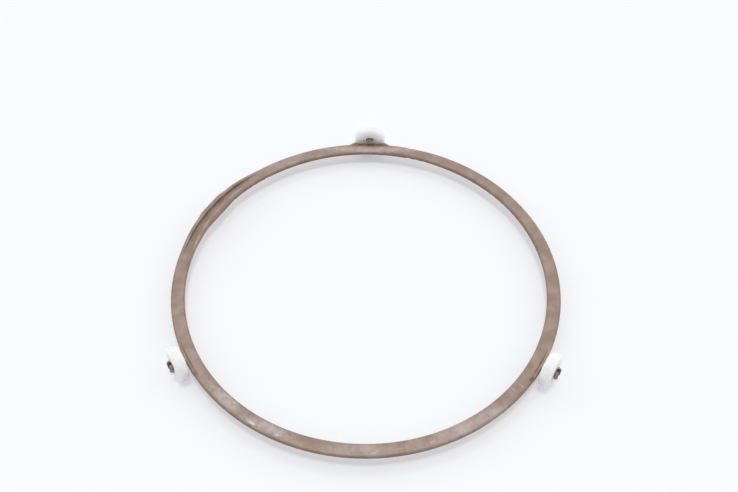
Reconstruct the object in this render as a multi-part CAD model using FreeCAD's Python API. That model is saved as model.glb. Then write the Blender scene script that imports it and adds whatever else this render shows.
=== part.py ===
"""Roller ring of a microwave oven's turntable.

A flat plastic ring, moulded in one piece, carries three stub axles that point
outwards. Each axle stands on a low plate at the ring's outer edge and ends in a
split, barbed snap head. Midway between two of the axles the band swells into a
flat-faced block, and a low rim runs along each of its edges there, with a trough
between them. A loose white wheel turns on each axle. The turntable's tray rests on
the tops of the wheels and the wheels run on the oven floor.

Units are millimetres. Z is up and Z = 0 is the floor that the wheels stand on.
The origin is on the ring's axis, and one axle points along +Y.
"""
import FreeCAD
import Part

import math
import os

# The band of the ring. Its top face is level with the axles.
RING_OUTER_RADIUS = 87.0
BAND_WIDTH = 6.1
BAND_HEIGHT = 2.2
BAND_EDGE_RADIUS = 0.9

# The wheels
WHEEL_RADIUS = 7.5
WHEEL_WIDTH = 5.2
WHEEL_EDGE_RADIUS = 1.3
BORE_CHAMFER = 0.4

# The stub axles: shank, fit in the wheel, and split snap head
AXLE_RADIUS = 1.9
AXLE_ROOT = 0.3
ROLLER_PLAY = 0.65
INNER_END_PLAY = 0.8
OUTER_END_PLAY = 0.3
BARB_CATCH = 0.25
BARB_LAND = 0.35
SNAP_HEAD_LENGTH = 1.3
SNAP_NOSE_RADIUS = 2.2
SLOT_WIDTH = 1.8
SLOT_DEPTH = 4.8

# The plates that the axles stand on, flush with the band's outer wall
PLATE_RISE = 1.3
PLATE_TOP_LENGTH = 14.8
PLATE_END_RUN = 2.1
PLATE_TOP_WIDTH = 0.8
PLATE_FOOT = 0.8
PLATE_EDGE_RADIUS = 0.35

# The block in the band and the rims along its edges. Spans are in degrees round the ring.
RIM_AZIMUTH = 150.0
RIM_RISE = 1.5
RIM_SPAN = 52.0
RIM_TOP_SPAN = 20.5
RIM_SETBACK = 0.35
OUTER_RIM_WIDTH = 1.4
INNER_RIM_WIDTH = 1.0
BLOCK_SPAN = 14.5
BLOCK_FLAT_SPAN = 8.5
BLOCK_PROUD = 0.55

# The largest share of a wall that a rounded edge may take
EDGE_SHARE = 0.45

# Each wheel's name and the direction of its axle in degrees from +X
STATIONS = {"back_wheel": 90.0, "left_wheel": 210.0, "right_wheel": 330.0}
BUILD_AZIMUTH = 90.0

# Heights and radii that follow from the sizes above
AXLE_HEIGHT = WHEEL_RADIUS
RING_TOP = AXLE_HEIGHT
RING_BOTTOM = RING_TOP - BAND_HEIGHT
RING_INNER_RADIUS = RING_OUTER_RADIUS - BAND_WIDTH
BAND_ROUNDING = min(BAND_EDGE_RADIUS, EDGE_SHARE * BAND_HEIGHT)
BAND_SHOULDER = RING_TOP - BAND_ROUNDING
PLATE_TOP = RING_TOP + PLATE_RISE
PLATE_CREST = RING_OUTER_RADIUS - PLATE_TOP_WIDTH
RIM_TOP = RING_TOP + RIM_RISE
TROUGH_OUTER_RADIUS = RING_OUTER_RADIUS - RIM_SETBACK - OUTER_RIM_WIDTH
TROUGH_INNER_RADIUS = RING_INNER_RADIUS + INNER_RIM_WIDTH
BORE_RADIUS = AXLE_RADIUS + ROLLER_PLAY
BARB_RADIUS = BORE_RADIUS + BARB_CATCH
WHEEL_INNER_FACE = RING_OUTER_RADIUS + INNER_END_PLAY
WHEEL_OUTER_FACE = WHEEL_INNER_FACE + WHEEL_WIDTH
BARB_FACE = WHEEL_OUTER_FACE + OUTER_END_PLAY
AXLE_TIP = BARB_FACE + SNAP_HEAD_LENGTH

NEAR = 0.001
ORIGIN = FreeCAD.Vector(0, 0, 0)
UP = FreeCAD.Vector(0, 0, 1)
OUTWARD = FreeCAD.Vector(0, 1, 0)


def closed_face(points):
    """Plane face inside a closed run of straight edges through the points."""
    return Part.Face(Part.makePolygon(points + points[:1]))


def polar(radius, azimuth, z):
    """Point at a radius and an azimuth in degrees round the ring's axis."""
    angle = math.radians(azimuth)
    return FreeCAD.Vector(radius * math.cos(angle), radius * math.sin(angle), z)


def half_chord(radius, span):
    """Half of the straight distance across a span in degrees at a radius."""
    return radius * math.sin(math.radians(span / 2))


def rims(shape, radius):
    """Circular edges of a turned shape that have the given radius."""
    circles = [edge for edge in shape.Edges if isinstance(edge.Curve, Part.Circle)]
    return [edge for edge in circles if abs(edge.Curve.Radius - radius) < NEAR]


def turned_blank(outer, inner, length, start, axis):
    """Plain round blank with a round hole through it."""
    body = Part.makeCylinder(outer, length, start, axis)
    return body.cut(Part.makeCylinder(inner, length, start, axis))


def outward_prism(outline):
    """Upright outline of (x, z) points, drawn out along +Y from the axis past the ring's edge."""
    elevation = closed_face([FreeCAD.Vector(x, 0, z) for x, z in outline])
    return elevation.extrude(OUTWARD * (RING_OUTER_RADIUS + BAND_WIDTH))


def block(low, high, setback):
    """Stretch of the band with a flat outer face, slanted flanks and a straight inner face."""
    half_span = BLOCK_SPAN / 2
    half_flat = BLOCK_FLAT_SPAN / 2
    outer = RING_OUTER_RADIUS - setback
    proud = outer + BLOCK_PROUD
    plan = closed_face([
        polar(RING_INNER_RADIUS, BUILD_AZIMUTH - half_span, low),
        polar(outer, BUILD_AZIMUTH - half_span, low),
        polar(proud, BUILD_AZIMUTH - half_flat, low),
        polar(proud, BUILD_AZIMUTH + half_flat, low),
        polar(outer, BUILD_AZIMUTH + half_span, low),
        polar(RING_INNER_RADIUS, BUILD_AZIMUTH + half_span, low),
    ])
    return plan.extrude(UP * (high - low))


def blocked_ring(low, high, setback):
    """Square-edged ring between two heights, with the block in it, set back from the outer edge."""
    base = FreeCAD.Vector(0, 0, low)
    plain = turned_blank(RING_OUTER_RADIUS - setback, RING_INNER_RADIUS, high - low, base, UP)
    return plain.fuse(block(low, high, setback)).removeSplitter()


def band():
    """The flat ring with its block, all edges rounded."""
    flat = blocked_ring(RING_BOTTOM, RING_TOP, 0)
    level = [edge for edge in flat.Edges if edge.BoundBox.ZLength < NEAR]
    return flat.makeFillet(BAND_ROUNDING, level)


def raised_rims():
    """Low rims along both edges of the band, ramped at their ends, with a trough between them."""
    base = FreeCAD.Vector(0, 0, BAND_SHOULDER)
    trough = turned_blank(TROUGH_OUTER_RADIUS, TROUGH_INNER_RADIUS, RIM_TOP - BAND_SHOULDER, base, UP)
    half_base = half_chord(RING_OUTER_RADIUS, RIM_SPAN)
    half_top = half_chord(RING_OUTER_RADIUS, RIM_TOP_SPAN)
    ramps = outward_prism([
        (-half_base, BAND_SHOULDER), (half_base, BAND_SHOULDER), (half_top, RIM_TOP), (-half_top, RIM_TOP),
    ])
    return blocked_ring(BAND_SHOULDER, RIM_TOP, RIM_SETBACK).cut(trough).common(ramps)


def axle_plate():
    """Low plate that follows the outer edge, with a sloped inner face and sloped ends.

    Its outer face is flush with the band. Below the shoulder of the band it is only
    as long as its top, and gives the axle a flat wall to stand on. The edges that
    stand above the band are rounded.
    """
    half_top = PLATE_TOP_LENGTH / 2
    foot = PLATE_CREST - PLATE_FOOT
    end_slope = PLATE_END_RUN / PLATE_RISE
    half_base = half_top + end_slope * (PLATE_TOP - BAND_SHOULDER)

    def at(y, z):
        return FreeCAD.Vector(0, y, z)

    profile = closed_face([
        at(foot, RING_BOTTOM), at(RING_OUTER_RADIUS, RING_BOTTOM), at(RING_OUTER_RADIUS, PLATE_TOP),
        at(PLATE_CREST, PLATE_TOP), at(foot, RING_TOP),
    ])
    hoop = profile.revolve(ORIGIN, UP, 360)
    plate = hoop.common(outward_prism([
        (-half_top, RING_BOTTOM), (half_top, RING_BOTTOM), (half_top, BAND_SHOULDER), (half_base, BAND_SHOULDER),
        (half_top, PLATE_TOP), (-half_top, PLATE_TOP), (-half_base, BAND_SHOULDER), (-half_top, BAND_SHOULDER),
    ]))
    rounding = min(PLATE_EDGE_RADIUS, EDGE_SHARE * PLATE_RISE, EDGE_SHARE * PLATE_TOP_WIDTH)
    standing = [edge for edge in plate.Edges if edge.CenterOfMass.z > RING_TOP + NEAR]
    return plate.makeFillet(rounding, standing)


def stub_axle():
    """Round shank with a barbed nose, slit upright so that it can spring shut."""
    root = RING_OUTER_RADIUS - AXLE_ROOT

    def at(y, radius):
        return FreeCAD.Vector(0, y, AXLE_HEIGHT + radius)

    profile = closed_face([
        at(root, 0), at(root, AXLE_RADIUS), at(BARB_FACE, AXLE_RADIUS), at(BARB_FACE, BARB_RADIUS),
        at(BARB_FACE + BARB_LAND, BARB_RADIUS), at(AXLE_TIP, SNAP_NOSE_RADIUS), at(AXLE_TIP, 0),
    ])
    pin = profile.revolve(FreeCAD.Vector(0, 0, AXLE_HEIGHT), OUTWARD, 360)
    slot_corner = FreeCAD.Vector(-SLOT_WIDTH / 2, AXLE_TIP - SLOT_DEPTH, AXLE_HEIGHT - BARB_RADIUS)
    slot = Part.makeBox(SLOT_WIDTH, SLOT_DEPTH, 2 * BARB_RADIUS, slot_corner)
    return pin.cut(slot)


def turned_to(shape, azimuth):
    """Copy of a shape built along +Y, turned to an azimuth."""
    turned = shape.copy()
    turned.rotate(ORIGIN, UP, azimuth - BUILD_AZIMUTH)
    return turned


def ring():
    """The one-piece moulding: band with block and rims, plates and stub axles."""
    rimmed_band = turned_to(band().fuse(raised_rims()), RIM_AZIMUTH)
    station = axle_plate().fuse(stub_axle())
    stations = [turned_to(station, azimuth) for azimuth in STATIONS.values()]
    return rimmed_band.fuse(stations).removeSplitter().Solids[0]


def wheel():
    """Loose roller: a disc with rounded tread edges and a bore that leads onto the axle.

    The bore is chamfered on the side that is pushed onto the axle. Its outer end
    stays sharp, for the barb to catch on.
    """
    start = FreeCAD.Vector(0, WHEEL_INNER_FACE, AXLE_HEIGHT)
    disc = turned_blank(WHEEL_RADIUS, BORE_RADIUS, WHEEL_WIDTH, start, OUTWARD)
    rounding = min(WHEEL_EDGE_RADIUS, EDGE_SHARE * WHEEL_WIDTH)
    disc = disc.makeFillet(rounding, rims(disc, WHEEL_RADIUS))
    lead_in = [edge for edge in rims(disc, BORE_RADIUS) if edge.Curve.Center.y < WHEEL_INNER_FACE + NEAR]
    return disc.makeChamfer(BORE_CHAMFER, lead_in)


def write_step(name, shape):
    """Save one node as a STEP file."""
    shape.exportStep(os.path.join("parts", name + ".step"))


def main():
    """Build every node and write its file."""
    os.makedirs("parts", exist_ok=True)
    write_step("ring", ring())
    roller = wheel()
    for name, azimuth in STATIONS.items():
        write_step(name, turned_to(roller, azimuth))


main()
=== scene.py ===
"""Studio picture of a microwave oven's roller ring.

The ring is a flat, brown plastic moulding that carries loose white wheels on its stub axles. Its
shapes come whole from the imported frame. This script gives each piece its finish, then adds the
pale sweep that it stands on, soft light from above, from both sides and from behind, and a camera
at the photograph's place.
"""

import logging
import math
from dataclasses import dataclass, field
from enum import Enum
from typing import Any

import bpy
from mathutils import Matrix, Vector

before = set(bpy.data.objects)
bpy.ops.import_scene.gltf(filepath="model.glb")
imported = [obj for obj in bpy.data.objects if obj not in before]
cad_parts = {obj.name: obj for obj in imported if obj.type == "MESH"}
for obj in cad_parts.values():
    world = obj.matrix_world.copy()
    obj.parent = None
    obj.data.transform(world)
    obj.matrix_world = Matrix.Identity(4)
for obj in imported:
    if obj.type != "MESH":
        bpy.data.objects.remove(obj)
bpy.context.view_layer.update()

LOG = logging.getLogger("roller_ring")
MM = 0.001

# The sRGB curve: a straight part up to the knee, then a power.
SRGB_KNEE = 0.04045
SRGB_SLOPE = 12.92
SRGB_OFFSET = 0.055
SRGB_POWER = 2.4

# A Mix node's colour sockets share their names with its number sockets, so they go by index.
MIX_UNDER = 6
MIX_OVER = 7
MIX_RESULT = 2

GRAIN_DETAIL = 2.0

Colour = tuple[float, float, float, float]
Span = tuple[float, float]
Tree = bpy.types.NodeTree
Socket = bpy.types.NodeSocket


class Piece(Enum):
    """The pieces of the object, by the name of their node."""

    RING = "ring"
    BACK_WHEEL = "back_wheel"
    LEFT_WHEEL = "left_wheel"
    RIGHT_WHEEL = "right_wheel"


def linear(code: str) -> Colour:
    """Turn an sRGB hex colour into the linear values that shaders use.

    Args:
        code: Six hex digits after a hash sign.

    Returns:
        Red, green, blue and an alpha of 1.
    """
    parts = [int(code[i:i + 2], 16) / 255 for i in (1, 3, 5)]
    red, green, blue = [
        p / SRGB_SLOPE if p <= SRGB_KNEE else ((p + SRGB_OFFSET) / (1 + SRGB_OFFSET)) ** SRGB_POWER
        for p in parts]
    return red, green, blue, 1.0


def per_metre(size_mm: float) -> float:
    """Texture scale that repeats a pattern once in a size given in millimetres."""
    return 1 / (size_mm * MM)


def add_node(tree: Tree, kind: str, inputs: dict | None = None, **settings: Any) -> bpy.types.Node:
    """Add one node to a tree, with its settings and what feeds it.

    Args:
        tree: The node tree of a material or of the world.
        kind: The node's Blender type.
        inputs: Socket name or index to a value, or to the output socket that is linked to it.
        settings: Attributes of the node itself.

    Returns:
        The new node.
    """
    node = tree.nodes.new(kind)
    for name, value in settings.items():
        setattr(node, name, value)
    for socket, value in (inputs or {}).items():
        if isinstance(value, Socket):
            tree.links.new(value, node.inputs[socket])
        else:
            node.inputs[socket].default_value = value
    return node


def maths(tree: Tree, operation: str, *values: Any) -> Socket:
    """Work out a sum.

    Args:
        tree: The tree to add to.
        operation: The sum's Blender name.
        values: Numbers or output sockets, in the sum's order.

    Returns:
        The result.
    """
    sockets = dict(enumerate(values))
    return add_node(tree, "ShaderNodeMath", sockets, operation=operation).outputs["Value"]


def stretch(tree: Tree, value: Socket, source: Span, target: Span = (0.0, 1.0), **settings: Any) -> Socket:
    """Stretch one span of a value over another, and hold it at the ends.

    Args:
        tree: The tree to add to.
        value: The value.
        source: Where the span starts and ends. It may run downwards.
        target: What its start and end become.
        settings: Attributes of the node itself.

    Returns:
        The stretched value.
    """
    ends = {"Value": value, "From Min": source[0], "From Max": source[1],
            "To Min": target[0], "To Max": target[1]}
    return add_node(tree, "ShaderNodeMapRange", ends, **settings).outputs["Result"]


def blend(tree: Tree, share: Socket, under: Any, over: Colour) -> Socket:
    """Lay one colour over another.

    Args:
        tree: The tree to add to.
        share: How much of the upper colour shows.
        under: The lower colour, or the output socket that gives it.
        over: The upper colour.

    Returns:
        The mixed colour.
    """
    inputs = {"Factor": share, MIX_UNDER: under, MIX_OVER: over}
    return add_node(tree, "ShaderNodeMix", inputs, data_type="RGBA").outputs[MIX_RESULT]


def noise(tree: Tree, place: Socket, size_mm: float, detail: float) -> Socket:
    """Make cloudy noise of a real size.

    Args:
        tree: The tree to add to.
        place: Object coordinates.
        size_mm: The size of one cloud.
        detail: How many finer layers it has.

    Returns:
        The noise, from 0 to 1.
    """
    inputs = {"Vector": place, "Scale": per_metre(size_mm), "Detail": detail}
    return add_node(tree, "ShaderNodeTexNoise", inputs).outputs["Fac"]


def grain_bump(tree: Tree, place: Socket, size_mm: float, depth_mm: float) -> Socket:
    """Roughen a surface with the fine grain of its mould.

    Args:
        tree: The tree to add to.
        place: Object coordinates.
        size_mm: The size of one grain.
        depth_mm: The depth of the grain.

    Returns:
        The normal of the roughened surface.
    """
    grain = noise(tree, place, size_mm, GRAIN_DETAIL)
    inputs = {"Height": grain, "Strength": 1.0, "Distance": depth_mm * MM}
    return add_node(tree, "ShaderNodeBump", inputs).outputs["Normal"]


def new_material(name: str) -> tuple[bpy.types.Material, Tree]:
    """Start an empty node material.

    Args:
        name: The material's name.

    Returns:
        The material and its node tree.
    """
    material = bpy.data.materials.new(name)
    material.use_nodes = True
    material.node_tree.nodes.clear()
    return material, material.node_tree


def background_rays(tree: Tree) -> Socket:
    """Pick out the rays that show the background: to the eye, in a gloss or through glass.

    Args:
        tree: The node tree of the floor's material or of the world.

    Returns:
        1 for those rays and 0 for the light that falls on the object.
    """
    path = add_node(tree, "ShaderNodeLightPath").outputs
    shown = path["Is Camera Ray"]
    for kind in ("Is Glossy Ray", "Is Transmission Ray"):
        shown = maths(tree, "MAXIMUM", shown, path[kind])
    return shown


@dataclass(frozen=True)
class Mark:
    """A pale or dark patch on the ring, placed round the ring's axis: a scuff, painted sheen, a painted
    highlight or painted shade.

    Its length runs round the ring, turned by slant_deg, and its width runs across the band.
    """

    azimuth_deg: float
    radius_mm: float
    length_mm: float
    width_mm: float
    strength: float
    slant_deg: float = 0.0
    height_mm: float = 7.5


@dataclass(frozen=True)
class MouldedTaupePlastic:
    """Glass-filled PPS, injection moulded: the ring's own plastic.

    The filler leaves a faint cloudy mottle and a fine matt grain, so the light spreads into a soft
    sheen. Rubbing turns it pale in small scuffs; broad pale patches on the band's top are painted
    sheen, and thin pale streaks on the rims are painted highlights. The foot of the walls and the
    band's rounded edges are darkened with painted shade, and dark patches of painted shade darken
    and dull the axle ends and the feet and ends of the plates.
    """

    name: str = "moulded_taupe_pps"
    body: str = "#917A6A"
    cloud: str = "#A59084"
    fleck: str = "#7C6554"
    # Painted shade: darker brown at the foot of the walls and on the band's rounded edges.
    foot_and_edge_shade: str = "#5A3A26"
    # Pale: small scuffs, and also painted sheen and painted highlights.
    scuff_and_painted_light: str = "#E6E0E2"
    # Painted shade: dark brown on the plates' faces and ends and on the axle ends.
    painted_shade: str = "#3A2012"
    gloss: float = 0.5
    painted_shade_gloss: float = 0.1
    roughness: float = 0.38
    roughness_spread: float = 0.10
    roughness_span: Span = (0.3, 0.7)
    ior: float = 1.47
    grain_mm: float = 0.5
    grain_depth_mm: float = 0.012
    cloud_mm: float = 7.0
    cloud_detail: float = 4.0
    cloud_span: Span = (0.42, 0.68)
    fleck_mm: float = 1.1
    fleck_detail: float = 2.0
    fleck_span: Span = (0.56, 0.78)
    fleck_share: float = 0.35
    # Where the painted shade at the foot of the walls and on the band's edges lies, and how strong.
    foot_shade_top_mm: float = 7.2
    foot_shade_full_mm: float = 6.2
    foot_shade_share: float = 0.65
    band_middle_mm: float = 83.95
    edge_start_mm: float = 2.3
    edge_full_mm: float = 3.0
    edge_top_mm: float = 7.7
    edge_share: float = 0.34
    mark_depth_mm: float = 1.2
    mark_span: Span = (1.75, 0.75)
    raggedness: float = 1.2
    blotch_mm: float = 2.2
    blotch_detail: float = 3.0
    blotch_span: Span = (0.35, 0.65)
    blotch_least: float = 0.4
    # Painted shade on the plates' inner faces, the axle ends and the plates' front ends, where shade falls.
    painted_shade_patches: tuple[Mark, ...] = (
        Mark(90.0, 85.8, 19.0, 1.6, 1.00, height_mm=7.9),
        Mark(90.0, 94.2, 8.0, 5.0, 1.00, height_mm=8.6),
        Mark(210.0, 85.8, 19.0, 1.6, 0.80, height_mm=7.9),
        Mark(210.0, 94.2, 8.0, 5.0, 1.00, height_mm=8.6),
        Mark(215.6, 86.2, 2.6, 2.6, 0.80, height_mm=8.1),
        Mark(324.4, 86.2, 2.6, 2.6, 0.90, height_mm=8.1),
        Mark(330.0, 85.8, 19.0, 1.6, 0.80, height_mm=7.9),
        Mark(330.0, 94.2, 8.0, 5.0, 1.00, height_mm=8.6),
    )
    # Small marks are scuffs. The broad patches are painted sheen on the band's top, and the thin streaks on
    # the rims are painted highlights.
    scuffs_and_painted_light: tuple[Mark, ...] = (
        # Painted sheen on the band's top at the back.
        Mark(90.0, 83.0, 70.0, 5.0, 0.40),
        Mark(120.0, 84.0, 44.0, 8.0, 0.16),
        # Painted highlights along the inner rim's top edge and on the rims' left ramps.
        Mark(142.0, 81.5, 14.0, 0.7, 0.35, height_mm=9.0),
        Mark(150.0, 81.5, 14.0, 0.7, 0.40, height_mm=9.0),
        Mark(158.0, 81.5, 12.0, 0.7, 0.45, height_mm=9.0),
        Mark(164.8, 81.4, 11.0, 0.8, 0.60, height_mm=8.4),
        Mark(165.2, 85.6, 10.0, 0.7, 0.60, height_mm=8.3),
        # The broad patches at 212, 228, 243, 270 and 300 degrees are painted sheen; the small marks between
        # them are scuffs.
        Mark(212.0, 83.9, 26.0, 6.5, 0.20),
        Mark(223.8, 82.6, 3.0, 1.4, 0.45, 20.0),
        Mark(228.0, 83.9, 30.0, 6.5, 0.42),
        Mark(230.4, 82.6, 3.4, 1.5, 0.70),
        Mark(230.2, 85.2, 5.0, 2.4, 0.35),
        Mark(238.2, 85.2, 6.0, 2.0, 0.85),
        Mark(243.0, 84.0, 28.0, 6.5, 0.42),
        Mark(246.3, 85.2, 3.6, 2.2, 0.80),
        Mark(270.0, 84.0, 48.0, 8.0, 0.24),
        Mark(273.3, 85.2, 4.0, 1.6, 0.60),
        Mark(289.8, 84.8, 6.0, 2.2, 0.45),
        Mark(300.0, 84.0, 60.0, 9.0, 0.30),
        Mark(318.6, 83.3, 3.0, 0.9, 0.30, 80.0),
        Mark(321.1, 84.6, 3.4, 0.9, 0.30, 75.0),
    )

    def build(self) -> bpy.types.Material:
        """Make the material.

        Returns:
            The finished material.
        """
        material, tree = new_material(self.name)
        place = add_node(tree, "ShaderNodeTexCoord").outputs["Object"]
        cloud = noise(tree, place, self.cloud_mm, self.cloud_detail)
        fleck = noise(tree, place, self.fleck_mm, self.fleck_detail)
        colour = self._mottle(tree, cloud, fleck)
        # Painted shade at the walls' foot and edges, scuffs with painted sheen and highlights, and dark
        # patches of painted shade.
        foot_and_edge_shade_share = self._find_foot_and_edge_shade(tree, place)
        scuff_and_painted_light = self._marked(tree, place, fleck, self.scuffs_and_painted_light)
        painted_shade = self._marked(tree, place, fleck, self.painted_shade_patches)
        for share, tint in ((foot_and_edge_shade_share, self.foot_and_edge_shade), (scuff_and_painted_light, self.scuff_and_painted_light), (painted_shade, self.painted_shade)):
            colour = blend(tree, share, colour, linear(tint))
        half = self.roughness_spread / 2
        roughness = stretch(tree, cloud, self.roughness_span, (self.roughness - half, self.roughness + half))
        # The painted shade also lowers the gloss where it lies.
        inputs = {"Base Color": colour, "Roughness": roughness, "IOR": self.ior,
                  "Specular IOR Level": stretch(tree, painted_shade, (0.0, 1.0), (self.gloss, self.painted_shade_gloss)),
                  "Normal": grain_bump(tree, place, self.grain_mm, self.grain_depth_mm)}
        shader = add_node(tree, "ShaderNodeBsdfPrincipled", inputs)
        add_node(tree, "ShaderNodeOutputMaterial", {"Surface": shader.outputs["BSDF"]})
        return material

    def _mottle(self, tree: Tree, cloud: Socket, fleck: Socket) -> Socket:
        """Mix the body colour with its clouds and flecks.

        Args:
            tree: The material's tree.
            cloud: Broad noise.
            fleck: Fine noise.

        Returns:
            The mixed colour.
        """
        cloudy = stretch(tree, cloud, self.cloud_span)
        mixed = blend(tree, cloudy, linear(self.body), linear(self.cloud))
        flecked = stretch(tree, fleck, self.fleck_span, (0.0, self.fleck_share))
        return blend(tree, flecked, mixed, linear(self.fleck))

    def _find_foot_and_edge_shade(self, tree: Tree, place: Socket) -> Socket:
        """Find where painted shade darkens the plastic: the foot of the walls, and the band's two rounded
        edges.

        Args:
            tree: The material's tree.
            place: Object coordinates.

        Returns:
            The share of painted shade, from 0 to 1.
        """
        foot_span = (self.foot_shade_top_mm * MM, self.foot_shade_full_mm * MM)
        edge_span = (self.edge_start_mm * MM, self.edge_full_mm * MM)
        height = add_node(tree, "ShaderNodeSeparateXYZ", {"Vector": place}).outputs["Z"]
        foot = stretch(tree, height, foot_span, (0.0, self.foot_shade_share))
        level = add_node(tree, "ShaderNodeVectorMath", {0: place, 1: (1.0, 1.0, 0.0)}, operation="MULTIPLY")
        radius = add_node(tree, "ShaderNodeVectorMath", {0: level.outputs["Vector"]}, operation="LENGTH")
        offset = maths(tree, "SUBTRACT", radius.outputs["Value"], self.band_middle_mm * MM)
        aside = maths(tree, "ABSOLUTE", offset)
        edge = stretch(tree, aside, edge_span, (0.0, self.edge_share))
        low = maths(tree, "LESS_THAN", height, self.edge_top_mm * MM)
        return maths(tree, "MAXIMUM", foot, maths(tree, "MULTIPLY", edge, low))

    def _marked(self, tree: Tree, place: Socket, fleck: Socket, marks: tuple[Mark, ...]) -> Socket:
        """Join all marks of one kind, with a blotchy middle.

        Args:
            tree: The material's tree.
            place: Object coordinates.
            fleck: Fine noise that breaks up the edges.
            marks: The marks to join.

        Returns:
            The share of the plastic that is marked, from 0 to 1.
        """
        blotch = noise(tree, place, self.blotch_mm, self.blotch_detail)
        cover = stretch(tree, blotch, self.blotch_span, (self.blotch_least, 1.0))
        total = 0.0
        for mark in marks:
            total = maths(tree, "MAXIMUM", total, self._mask(tree, place, fleck, mark))
        return maths(tree, "MULTIPLY", total, cover)

    def _mask(self, tree: Tree, place: Socket, fleck: Socket, mark: Mark) -> Socket:
        """Mask one mark, with a soft and ragged edge.

        Args:
            tree: The material's tree.
            place: Object coordinates.
            fleck: Fine noise that breaks up the edge.
            mark: The mark.

        Returns:
            The mark's strength inside it, and 0 well outside.
        """
        angle = math.radians(mark.azimuth_deg)
        centre = Vector((math.cos(angle), math.sin(angle), 0.0)) * mark.radius_mm * MM
        centre.z = mark.height_mm * MM
        half_sizes = (mark.length_mm / 2 * MM, mark.width_mm / 2 * MM, self.mark_depth_mm * MM)
        turn = angle + math.pi / 2 + math.radians(mark.slant_deg)
        inputs = {"Vector": place, "Location": centre, "Rotation": (0.0, 0.0, turn), "Scale": half_sizes}
        local = add_node(tree, "ShaderNodeMapping", inputs, vector_type="TEXTURE").outputs["Vector"]
        reach = add_node(tree, "ShaderNodeVectorMath", {0: local}, operation="LENGTH").outputs["Value"]
        ragged = maths(tree, "MULTIPLY_ADD", fleck, self.raggedness, reach)
        return stretch(tree, ragged, self.mark_span, (0.0, mark.strength), interpolation_type="SMOOTHSTEP")


@dataclass(frozen=True)
class MouldedWhitePlastic:
    """PTFE, moulded: the wheels' slippery white plastic.

    It is bright and waxy: light soaks into it and lifts its shaded sides. It has a broad soft
    sheen and a faint grey bloom where it runs.
    """

    name: str = "moulded_white_ptfe"
    body: str = "#FAF9F8"
    bloom: str = "#F2F1EF"
    roughness: float = 0.38
    ior: float = 1.38
    soak_mm: float = 10.0
    bloom_mm: float = 3.0
    bloom_detail: float = 3.0
    bloom_span: Span = (0.45, 0.75)
    grain_mm: float = 0.6
    grain_depth_mm: float = 0.008

    def build(self) -> bpy.types.Material:
        """Make the material.

        Returns:
            The finished material.
        """
        material, tree = new_material(self.name)
        place = add_node(tree, "ShaderNodeTexCoord").outputs["Object"]
        share = stretch(tree, noise(tree, place, self.bloom_mm, self.bloom_detail), self.bloom_span)
        inputs = {"Base Color": blend(tree, share, linear(self.body), linear(self.bloom)),
                  "Roughness": self.roughness, "IOR": self.ior, "Subsurface Weight": 1.0,
                  "Subsurface Radius": (1.0, 1.0, 1.0), "Subsurface Scale": self.soak_mm * MM,
                  "Normal": grain_bump(tree, place, self.grain_mm, self.grain_depth_mm)}
        shader = add_node(tree, "ShaderNodeBsdfPrincipled", inputs)
        add_node(tree, "ShaderNodeOutputMaterial", {"Surface": shader.outputs["BSDF"]})
        return material


@dataclass(frozen=True)
class SweepPaper:
    """Matt white background paper: no gloss and no pattern that shows at this distance.

    Where it shows as the background it glows a little, as brightly pictured paper does, so that
    shadows on it stay pale. The glow lights nothing.
    """

    name: str = "white_sweep_paper"
    body: str = "#FAFBFD"
    glow_share: float = 0.34

    def build(self) -> bpy.types.Material:
        """Make the material.

        Returns:
            The finished material.
        """
        material, tree = new_material(self.name)
        paper = add_node(tree, "ShaderNodeBsdfDiffuse", {"Color": linear(self.body)})
        glow = add_node(tree, "ShaderNodeEmission", {"Color": linear(self.body), "Strength": 1.0})
        share = maths(tree, "MULTIPLY", background_rays(tree), self.glow_share)
        inputs = {"Fac": share, 1: paper.outputs["BSDF"], 2: glow.outputs["Emission"]}
        shader = add_node(tree, "ShaderNodeMixShader", inputs)
        add_node(tree, "ShaderNodeOutputMaterial", {"Surface": shader.outputs["Shader"]})
        return material


@dataclass
class MouldedPiece:
    """A piece whose shape is right as packed, and that only needs its finish."""

    piece: Piece
    slot: str

    def dress(self, material: bpy.types.Material) -> None:
        """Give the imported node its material.

        Args:
            material: The finish to wear.
        """
        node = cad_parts[self.piece.value]
        node.data.materials.clear()
        node.data.materials.append(material)
        LOG.info("%s wears %s", self.piece.value, material.name)


@dataclass
class RollerRing:
    """The whole object: one moulding and the wheels on its axles."""

    ring: MouldedPiece = field(default_factory=lambda: MouldedPiece(Piece.RING, "ring_plastic"))
    wheels: tuple[MouldedPiece, ...] = field(default_factory=lambda: tuple(
        MouldedPiece(piece, "wheel_plastic")
        for piece in (Piece.BACK_WHEEL, Piece.LEFT_WHEEL, Piece.RIGHT_WHEEL)))

    def dress(self) -> None:
        """Give every piece its finish."""
        self.ring.dress(MouldedTaupePlastic().build())
        white = MouldedWhitePlastic().build()
        for wheel in self.wheels:
            wheel.dress(white)


@dataclass(frozen=True)
class Lamp:
    """A broad, far lamp. Its share is of the light that shows white paper as white.

    Its lean is from straight above towards the back.
    """

    name: str
    share: float
    width_deg: float
    lean_deg: float

    def hang(self) -> None:
        """Hang the lamp over the object."""
        light = bpy.data.lights.new(self.name, "SUN")
        light.energy = self.share * math.pi
        light.angle = math.radians(self.width_deg)
        lamp = bpy.data.objects.new(self.name, light)
        lamp.rotation_euler = (-math.radians(self.lean_deg), 0.0, 0.0)
        bpy.context.scene.collection.objects.link(lamp)
        LOG.info("%s hung", self.name)


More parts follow.
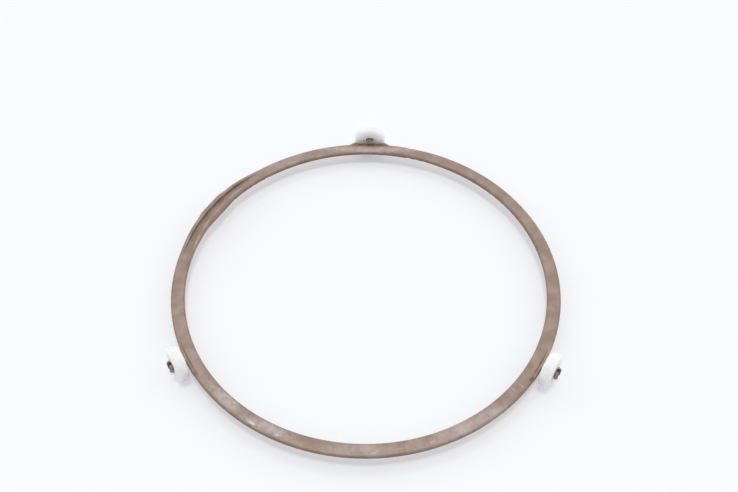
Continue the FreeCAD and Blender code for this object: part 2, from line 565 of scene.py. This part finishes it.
@dataclass
class Studio:
    """A pale sweep under soft light from above, from both sides and from behind."""

    floor_size_m: float = 30.0
    lamps: tuple[Lamp, ...] = (Lamp("key", 0.245, 14.0, -1.0), Lamp("back_light", 0.06, 14.0, 36.0))
    sky: str = "#FDFDFF"
    front_sky: float = 0.08
    back_sky: float = 0.77
    side_sky: float = 0.72

    def build(self) -> None:
        """Make the floor, the lamps and the sky."""
        self._floor()
        for lamp in self.lamps:
            lamp.hang()
        self._sky()
        bpy.context.scene.view_settings.view_transform = "Standard"

    def _floor(self) -> None:
        """Lay the paper that the wheels stand on."""
        bpy.ops.object.select_all(action="DESELECT")
        bpy.ops.mesh.primitive_plane_add(size=self.floor_size_m)
        floor = bpy.context.object
        floor.name = "sweep"
        floor.data.materials.append(SweepPaper().build())
        LOG.info("%s laid", floor.name)

    def _sky(self) -> None:
        """Fill the room from both sides and behind. As background, the room shows white."""
        world = bpy.data.worlds.new("room")
        world.use_nodes = True
        tree = world.node_tree
        tree.nodes.clear()
        place = add_node(tree, "ShaderNodeTexCoord").outputs["Generated"]
        direction = add_node(tree, "ShaderNodeSeparateXYZ", {"Vector": place}).outputs
        along = stretch(tree, direction["Y"], (-1.0, 1.0), (self.front_sky, self.back_sky))
        aside = maths(tree, "ABSOLUTE", direction["X"])
        fill = maths(tree, "MULTIPLY_ADD", aside, self.side_sky, along)
        inputs = {"Factor": background_rays(tree), "A": fill, "B": 1.0}
        strength = add_node(tree, "ShaderNodeMix", inputs).outputs["Result"]
        sky = add_node(tree, "ShaderNodeBackground", {"Color": linear(self.sky), "Strength": strength})
        add_node(tree, "ShaderNodeOutputWorld", {"Surface": sky.outputs["Background"]})
        bpy.context.scene.world = world


@dataclass(frozen=True)
class PhotoCamera:
    """The photograph's camera, fitted to the ring's two outlines.

    It circles the middle of the ring's top face, then turns a little off it to frame the picture.
    """

    image_width_px: float = 738.0
    focal_px: float = 1010.0
    sensor_mm: float = 36.0
    clip_start_mm: float = 10.0
    target_mm: tuple[float, float, float] = (0.0, 0.0, 7.5)
    distance_mm: float = 453.5
    azimuth_deg: float = 1.368
    elevation_deg: float = 52.743
    tilt_deg: float = 1.999
    pan_deg: float = 0.181
    roll_deg: float = -0.155

    def place(self) -> None:
        """Make the camera and hand it to the scene."""
        azimuth, elevation = math.radians(self.azimuth_deg), math.radians(self.elevation_deg)
        tilt, pan, roll = [math.radians(a) for a in (self.tilt_deg, self.pan_deg, self.roll_deg)]
        circle = Matrix.Rotation(azimuth, 4, "Z") @ Matrix.Rotation(math.pi / 2 - elevation, 4, "X")
        back = circle @ Vector((0.0, 0.0, self.distance_mm * MM))
        aim = Matrix.Rotation(tilt, 4, "X") @ Matrix.Rotation(-pan, 4, "Y") @ Matrix.Rotation(roll, 4, "Z")
        data = bpy.data.cameras.new("photo_camera")
        data.sensor_width = self.sensor_mm
        data.lens = self.focal_px / self.image_width_px * self.sensor_mm
        data.clip_start = self.clip_start_mm * MM
        camera = bpy.data.objects.new("photo_camera", data)
        camera.matrix_world = Matrix.Translation(Vector(self.target_mm) * MM + back) @ circle @ aim
        bpy.context.scene.collection.objects.link(camera)
        bpy.context.scene.camera = camera
        LOG.info("camera placed")


def main() -> None:
    """Dress the object, set the studio and place the camera."""
    logging.basicConfig(level=logging.INFO, format="%(name)s: %(message)s")
    RollerRing().dress()
    Studio().build()
    PhotoCamera().place()


if __name__ == "__main__":
    main()
